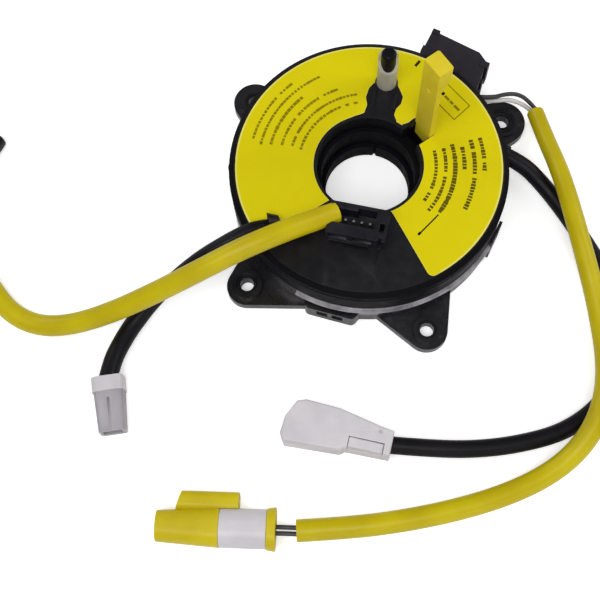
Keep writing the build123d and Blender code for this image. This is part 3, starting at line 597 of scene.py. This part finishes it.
# %% A smooth line and a tube around it
def smooth_line(name, route):
    """The points of a NURBS curve whose control points are the route, in metres."""
    data = bpy.data.curves.new(name, "CURVE")
    data.dimensions = "3D"
    data.resolution_u = 8
    spline = data.splines.new("NURBS")
    spline.points.add(len(route) - 1)
    for control, spot in zip(spline.points, route):
        control.co = (*(Vector(spot) * MM), 1)
    spline.order_u = 3
    spline.use_endpoint_u = True
    curve = placed(name, data)
    bpy.context.view_layer.update()
    line = bpy.data.meshes.new_from_object(curve)
    points = [v.co.copy() for v in line.vertices]
    bpy.data.objects.remove(curve)
    bpy.data.meshes.remove(line)
    return points


def length_of(line):
    return sum((b - a).length for a, b in zip(line, line[1:]))


def tube(name, line, radius, paint, wall=0.0, sides=28, swell=()):
    """A tube along a line. With a wall its two ends are open to a short hollow; otherwise they are domed.

    wall is in millimetres, as are the places in swell, which lists (distance from the start, share of the
    radius) pairs for a tube that isn't equally thick all along.
    """
    hollow_depth, lip = 4 * MM, 0.1 * MM
    vertices, faces, rings = [], [], []

    def ring(centre, direction, across, r):
        other = direction.cross(across)
        rings.append(len(vertices))
        for i in range(sides):
            a = 2 * math.pi * i / sides
            vertices.append(centre + (across * math.cos(a) + other * math.sin(a)) * r)

    def end_rings(r):
        """The last two rings of an end, each as (distance past the end, radius)."""
        if wall:
            return (-lip, r - wall * MM), (-hollow_depth, r - wall * MM)
        return (0.1 * r, 0.85 * r), (0.16 * r, 0.55 * r)

    side = (line[1] - line[0]).normalized().orthogonal().normalized()
    frames = []
    for i, spot in enumerate(line):
        direction = (line[min(i + 1, len(line) - 1)] - line[max(i - 1, 0)]).normalized()
        side = (side - direction * side.dot(direction)).normalized()
        frames.append((spot, direction, side.copy()))
    walked = np.cumsum([0.0] + [(b - a).length / MM for a, b in zip(line, line[1:])])
    shares = np.interp(walked, *zip(*swell)) if swell else np.ones(len(line))
    spot, direction, across = frames[0]
    for past, r in reversed(end_rings(radius * shares[0])):
        ring(spot - direction * past, direction, across, r)
    for (spot, direction, across), share in zip(frames, shares):
        ring(spot, direction, across, radius * share)
    for past, r in end_rings(radius * shares[-1]):
        ring(spot + direction * past, direction, across, r)
    for a, b in zip(rings, rings[1:]):
        for i in range(sides):
            j = (i + 1) % sides
            faces.append((a + i, a + j, b + j, b + i))
    faces.append(tuple(reversed(range(rings[0], rings[0] + sides))))
    faces.append(tuple(range(rings[-1], rings[-1] + sides)))
    mesh = bpy.data.meshes.new(name)
    mesh.from_pydata(vertices, [], faces)
    mesh.materials.append(paint)
    smooth_but(mesh, 50, flat=2)
    return placed(name, mesh)


# %% The four leads and the two loose wires
ROUTES = {
    "wheel_airbag_sleeve": [
        (-14.2, -20.4, 31.0), (-25.4, -24.6, 34.2), (-36.4, -29.2, 37.3), (-49.4, -33.6, 37.0),
        (-64, -38, 32.0), (-81, -41.8, 23.4), (-98.4, -44.8, 14.4), (-115, -46.2, 7.2),
        (-129, -44.8, 4.05), (-140, -38.6, 4.05), (-147.8, -27.2, 4.05), (-154.4, -15.6, 4.05),
        (-159.8, -4.4, 4.05), (-162.6, 6.6, 4.05), (-160.9, 16.5, 4.05), (-154.6, 25.2, 4.05)],
    "horn_lead": [
        (-37.4, -21.6, 28.7), (-43.6, -22.8, 29.2), (-50.6, -25.4, 29.2), (-57.6, -28.2, 27.6),
        (-64.8, -30.6, 24.2), (-73, -33.2, 17.2), (-80.4, -36.4, 10.4), (-87.4, -40.9, 6.0),
        (-93.4, -46.8, 4.0), (-98.2, -53.8, 3.9), (-102.3, -61.9, 4.4), (-104.2, -70.1, 4.6)],
    "body_lead": [
        (54.6, 6.4, 9.4), (61.0, 2.8, 8.2), (67.4, -4.4, 5.6), (74.0, -14.6, 3.6), (79.6, -26.8, 3.3),
        (85.0, -40.1, 3.3), (89.0, -54.2, 3.3), (89.6, -68.5, 3.3), (85.3, -81.9, 3.3), (76.0, -94.0, 3.3),
        (61.4, -102.4, 3.3), (44, -105.4, 3.3), (28, -105.8, 3.4), (12.1, -104.2, 4.2),
        (-3.2, -101.6, 4.8)],
    "column_airbag_sleeve": [
        (70.2, 26.4, 4.4), (72.0, 12.4, 7.0), (73.4, -0.4, 11.6), (74.6, -12.8, 13.8), (76.0, -27.4, 13.8),
        (77.8, -41.4, 12.0), (79.4, -53.2, 9.4), (80.2, -64.2, 7.6), (80.0, -75, 8.0), (78.2, -85.4, 10.2),
        (74.8, -95.4, 11.4), (69.4, -104.6, 9.8), (61.4, -112.4, 6.6), (50.4, -118.6, 4.6),
        (35.4, -123.6, 4.05), (18, -127, 4.05), (0, -129, 4.05), (-19, -129.8, 4.05),
        (-38.4, -129.2, 4.05)],
    "column_airbag_wire_a": [
        (46.6, 31.6, 12.2), (52.6, 30.6, 12.0), (58.0, 32.0, 11.6), (63.2, 32.4, 10.0), (67.6, 30.6, 7.2),
        (70.7, 26.8, 5.2)],
    "column_airbag_wire_b": [
        (46.4, 31.0, 9.8), (53.2, 30.2, 9.8), (59.0, 30.8, 9.2), (64.0, 30.2, 6.8), (67.8, 28.4, 4.6),
        (69.7, 26.6, 3.6)],
}
RADII = {"wheel_airbag_sleeve": 4.0, "horn_lead": 2.9, "body_lead": 3.25, "column_airbag_sleeve": 4.0,
         "column_airbag_wire_a": 0.85, "column_airbag_wire_b": 0.85}
SLEEVE_WALL = {"wheel_airbag_sleeve": 0.8, "column_airbag_sleeve": 0.8}
SWELL = {"column_airbag_sleeve": ((0, 0.84), (50, 0.9), (110, 1.0)),
         "horn_lead": ((0, 0.68), (7, 1.0), (46, 1.0), (66, 1.22))}
leads, lines = {}, {}
for name, route in ROUTES.items():
    lines[name] = smooth_line(name + "_line", route)
    leads[name] = tube(name + "_tube", lines[name], RADII[name] * MM, FINISH_OF_NODE[name],
                       SLEEVE_WALL.get(name, 0.0), swell=SWELL.get(name, ()))
    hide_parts(name)
    print(name, "is", round(length_of(lines[name]) / MM, 1), "mm long")

# %% Where each lead rides and ends
for name in ("body_lead", "column_airbag_sleeve", "column_airbag_wire_a", "column_airbag_wire_b"):
    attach(leads[name], "stator")
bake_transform(leads["wheel_airbag_sleeve"])
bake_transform(leads["horn_lead"])
